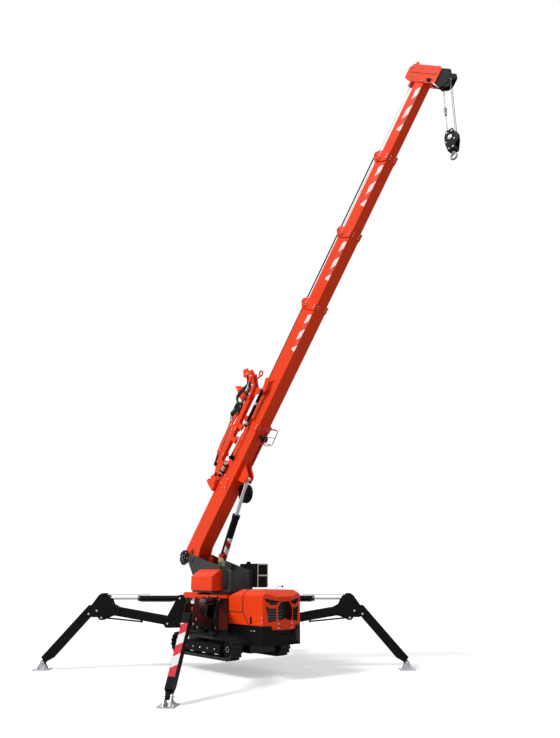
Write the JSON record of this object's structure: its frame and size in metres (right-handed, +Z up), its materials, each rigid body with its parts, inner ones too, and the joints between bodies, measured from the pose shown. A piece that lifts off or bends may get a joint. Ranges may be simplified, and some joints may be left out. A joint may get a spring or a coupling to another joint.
{
  "type": "compact crawler crane on outriggers",
  "caption": "Compact orange crawler crane standing on four black folding outriggers with its tracks lifted, telescopic boom raised and a hook block hanging from the head.",
  "frame": {"origin": "middle of the bounding box, on the ground under the outrigger pads", "axes": "+X forward, the way the boom points over the engine hood; +Y the machine's left; +Z up"},
  "size_m": [7.6324, 5.0196, 9.2768],
  "materials": {
    "orange_paint": "satin",
    "dark_red_paint": "satin",
    "black_paint": "satin",
    "charcoal_paint": "satin",
    "track_rubber": "matte",
    "cast_grey": "matte",
    "striped_paint": "satin",
    "chrome_rod": "polished",
    "galvanised": "satin",
    "dark_steel": "satin",
    "lamp_plastic": "gloss"
  },
  "bodies": {
    "chassis": {"chassis_frame": "dark_red_paint", "track_left": "track_rubber", "track_right": "track_rubber", "track_frame_left": "charcoal_paint", "track_frame_right": "charcoal_paint", "hood_rear": "orange_paint", "bumper": "black_paint", "engine": "cast_grey", "valve_bank": "black_paint", "rear_cover": "orange_paint"},
    "hood": {"hood_front": "orange_paint", "hood_grille": "black_paint"},
    "turret": {"turret_frame": "charcoal_paint", "side_cover": "orange_paint", "oil_tank": "black_paint", "signal_tower": "lamp_plastic"},
    "lift_tube": {"lift_barrel": "striped_paint"},
    "lift_piston": {"lift_rod": "chrome_rod"},
    "boom_one": {"boom_base": "orange_paint", "winch": "black_paint", "cable_reel": "black_paint", "work_lamp": "black_paint", "jib_beam": "orange_paint", "jib_cylinder": "black_paint"},
    "boom_two": {"boom_2": "orange_paint"},
    "boom_three": {"boom_3": "orange_paint"},
    "boom_four": {"boom_4": "orange_paint"},
    "boom_five": {"boom_5": "orange_paint", "boom_head": "orange_paint", "head_housing": "black_paint", "head_sheaves": "dark_steel"},
    "hook_hang": {"hoist_falls": "dark_steel", "hook_block": "black_paint", "hook": "dark_steel"},
    "swing_body_fl": {"bracket_fl": "black_paint"},
    "arm_body_fl": {"arm_fl": "black_paint"},
    "leg_body_fl": {"leg_fl": "black_paint"},
    "barrel_body_fl": {"barrel_fl": "black_paint"},
    "rod_body_fl": {"rod_fl": "chrome_rod"},
    "pad_body_fl": {"pad_fl": "galvanised"},
    "swing_body_fr": {"bracket_fr": "black_paint"},
    "arm_body_fr": {"arm_fr": "black_paint"},
    "leg_body_fr": {"leg_fr": "black_paint"},
    "barrel_body_fr": {"barrel_fr": "black_paint"},
    "rod_body_fr": {"rod_fr": "chrome_rod"},
    "pad_body_fr": {"pad_fr": "galvanised"},
    "swing_body_rl": {"bracket_rl": "black_paint"},
    "arm_body_rl": {"arm_rl": "black_paint"},
    "leg_body_rl": {"leg_rl": "black_paint"},
    "barrel_body_rl": {"barrel_rl": "black_paint"},
    "rod_body_rl": {"rod_rl": "chrome_rod"},
    "pad_body_rl": {"pad_rl": "galvanised"},
    "swing_body_rr": {"bracket_rr": "black_paint"},
    "arm_body_rr": {"arm_rr": "black_paint"},
    "leg_body_rr": {"leg_rr": "black_paint"},
    "barrel_body_rr": {"barrel_rr": "black_paint"},
    "rod_body_rr": {"rod_rr": "chrome_rod"},
    "pad_body_rr": {"pad_rr": "galvanised"}
  },
  "joints": [
    {"name": "slew", "type": "hinge", "parent": "chassis", "child": "turret", "pos_m": [-1.61818, 0, 1.24], "axis": [0, 0, 1], "continuous": true},
    {"name": "luff", "type": "hinge", "parent": "turret", "child": "boom_one", "pos_m": [-2.41818, 0, 1.78], "axis": [0, -1, 0], "range_deg": [-50, 26]},
    {"name": "lift_tilt", "type": "hinge", "parent": "turret", "child": "lift_tube", "pos_m": [-1.96818, 0, 1.4], "axis": [0, -1, 0], "range_deg": [-49.73, 25.87]},
    {"name": "lift_stroke", "type": "slide", "parent": "lift_tube", "child": "lift_piston", "axis": [0.4561, 0, 0.8899], "range_m": [-0.47497, 0.24703]},
    {"name": "tele_two", "type": "slide", "parent": "boom_one", "child": "boom_two", "axis": [0.6428, 0, 0.766], "range_m": [-2.15, 0]},
    {"name": "tele_three", "type": "slide", "parent": "boom_two", "child": "boom_three", "axis": [0.6428, 0, 0.766], "range_m": [-1.08, 1]},
    {"name": "tele_four", "type": "slide", "parent": "boom_three", "child": "boom_four", "axis": [0.6428, 0, 0.766], "range_m": [-1.08, 1]},
    {"name": "tele_five", "type": "slide", "parent": "boom_four", "child": "boom_five", "axis": [0.6428, 0, 0.766], "range_m": [-1.08, 1]},
    {"name": "hook_swing", "type": "hinge", "parent": "boom_five", "child": "hook_hang", "pos_m": [3.66647, 0, 8.65802], "axis": [0, -1, 0], "range_deg": [-26.01, 50.01]},
    {"name": "hood_tilt", "type": "hinge", "parent": "chassis", "child": "hood", "pos_m": [-0.07068, 0, 0.672], "axis": [0, 1, 0], "range_deg": [0, 50]},
    {"name": "swing_fl", "type": "hinge", "parent": "chassis", "child": "swing_body_fl", "pos_m": [-1.21818, 0.53, 0.655], "axis": [0, 0, -1], "range_deg": [-25, 25]},
    {"name": "raise_fl", "type": "hinge", "parent": "swing_body_fl", "child": "arm_body_fl", "pos_m": [-0.99937, 0.77301, 0.731], "axis": [0.7431, -0.6691, 0], "range_deg": [-10, 60]},
    {"name": "knee_fl", "type": "hinge", "parent": "arm_body_fl", "child": "leg_body_fl", "pos_m": [-0.17232, 1.69154, 0.936], "axis": [-0.7431, 0.6691, 0], "range_deg": [0, 70]},
    {"name": "tube_fl", "type": "hinge", "parent": "swing_body_fl", "child": "barrel_body_fl", "pos_m": [-1.12851, 0.62958, 1.138], "axis": [0.7431, -0.6691, 0], "range_deg": [-10.43, 62.52]},
    {"name": "stroke_fl", "type": "slide", "parent": "barrel_body_fl", "child": "rod_body_fl", "axis": [0.6691, 0.7431, -0.0008], "range_m": [-0.44831, 0.0748]},
    {"name": "foot_fl", "type": "hinge", "parent": "leg_body_fl", "child": "pad_body_fl", "pos_m": [0.40781, 2.33584, 0.11], "axis": [0.7431, -0.6691, 0], "range_deg": [-25, 25]},
    {"name": "swing_fr", "type": "hinge", "parent": "chassis", "child": "swing_body_fr", "pos_m": [-1.21818, -0.53, 0.655], "axis": [0, 0, 1], "range_deg": [-25, 25]},
    {"name": "raise_fr", "type": "hinge", "parent": "swing_body_fr", "child": "arm_body_fr", "pos_m": [-0.99937, -0.77301, 0.731], "axis": [-0.7431, -0.6691, 0], "range_deg": [-10, 60]},
    {"name": "knee_fr", "type": "hinge", "parent": "arm_body_fr", "child": "leg_body_fr", "pos_m": [-0.17232, -1.69154, 0.936], "axis": [0.7431, 0.6691, 0], "range_deg": [0, 70]},
    {"name": "tube_fr", "type": "hinge", "parent": "swing_body_fr", "child": "barrel_body_fr", "pos_m": [-1.12851, -0.62958, 1.138], "axis": [-0.7431, -0.6691, 0], "range_deg": [-10.43, 62.52]},
    {"name": "stroke_fr", "type": "slide", "parent": "barrel_body_fr", "child": "rod_body_fr", "axis": [0.6691, -0.7431, -0.0008], "range_m": [-0.44831, 0.0748]},
    {"name": "foot_fr", "type": "hinge", "parent": "leg_body_fr", "child": "pad_body_fr", "pos_m": [0.40781, -2.33584, 0.11], "axis": [-0.7431, -0.6691, 0], "range_deg": [-25, 25]},
    {"name": "swing_rl", "type": "hinge", "parent": "chassis", "child": "swing_body_rl", "pos_m": [-2.01818, 0.53, 0.655], "axis": [0, 0, 1], "range_deg": [-25, 25]},
    {"name": "raise_rl", "type": "hinge", "parent": "swing_body_rl", "child": "arm_body_rl", "pos_m": [-2.23698, 0.77301, 0.731], "axis": [0.7431, 0.6691, 0], "range_deg": [-10, 60]},
    {"name": "knee_rl", "type": "hinge", "parent": "arm_body_rl", "child": "leg_body_rl", "pos_m": [-3.06403, 1.69154, 0.936], "axis": [-0.7431, -0.6691, 0], "range_deg": [0, 70]},
    {"name": "tube_rl", "type": "hinge", "parent": "swing_body_rl", "child": "barrel_body_rl", "pos_m": [-2.10784, 0.62958, 1.138], "axis": [0.7431, 0.6691, 0], "range_deg": [-10.43, 62.52]},
    {"name": "stroke_rl", "type": "slide", "parent": "barrel_body_rl", "child": "rod_body_rl", "axis": [-0.6691, 0.7431, -0.0008], "range_m": [-0.44831, 0.0748]},
    {"name": "foot_rl", "type": "hinge", "parent": "leg_body_rl", "child": "pad_body_rl", "pos_m": [-3.64416, 2.33584, 0.11], "axis": [0.7431, 0.6691, 0], "range_deg": [-25, 25]},
    {"name": "swing_rr", "type": "hinge", "parent": "chassis", "child": "swing_body_rr", "pos_m": [-2.01818, -0.53, 0.655], "axis": [0, 0, -1], "range_deg": [-25, 25]},
    {"name": "raise_rr", "type": "hinge", "parent": "swing_body_rr", "child": "arm_body_rr", "pos_m": [-2.23698, -0.77301, 0.731], "axis": [-0.7431, 0.6691, 0], "range_deg": [-10, 60]},
    {"name": "knee_rr", "type": "hinge", "parent": "arm_body_rr", "child": "leg_body_rr", "pos_m": [-3.06403, -1.69154, 0.936], "axis": [0.7431, -0.6691, 0], "range_deg": [0, 70]},
    {"name": "tube_rr", "type": "hinge", "parent": "swing_body_rr", "child": "barrel_body_rr", "pos_m": [-2.10784, -0.62958, 1.138], "axis": [-0.7431, 0.6691, 0], "range_deg": [-10.43, 62.52]},
    {"name": "stroke_rr", "type": "slide", "parent": "barrel_body_rr", "child": "rod_body_rr", "axis": [-0.6691, -0.7431, -0.0008], "range_m": [-0.44831, 0.0748]},
    {"name": "foot_rr", "type": "hinge", "parent": "leg_body_rr", "child": "pad_body_rr", "pos_m": [-3.64416, -2.33584, 0.11], "axis": [-0.7431, 0.6691, 0], "range_deg": [-25, 25]}
  ],
  "couplings": [
    {"joint": "lift_tilt", "follows": "luff", "ratio": 0.99447},
    {"joint": "lift_stroke", "follows": "luff", "m_per_rad": 0.54416},
    {"joint": "tele_four", "follows": "tele_three", "ratio": 1},
    {"joint": "tele_five", "follows": "tele_three", "ratio": 1},
    {"joint": "hook_swing", "follows": "luff", "ratio": -1},
    {"joint": "tube_fl", "follows": "raise_fl", "ratio": 1.0418},
    {"joint": "stroke_fl", "follows": "raise_fl", "m_per_rad": -0.42801},
    {"joint": "tube_fr", "follows": "raise_fr", "ratio": 1.0418},
    {"joint": "stroke_fr", "follows": "raise_fr", "m_per_rad": -0.42801},
    {"joint": "tube_rl", "follows": "raise_rl", "ratio": 1.0418},
    {"joint": "stroke_rl", "follows": "raise_rl", "m_per_rad": -0.42801},
    {"joint": "tube_rr", "follows": "raise_rr", "ratio": 1.0418},
    {"joint": "stroke_rr", "follows": "raise_rr", "m_per_rad": -0.42801}
  ]
}
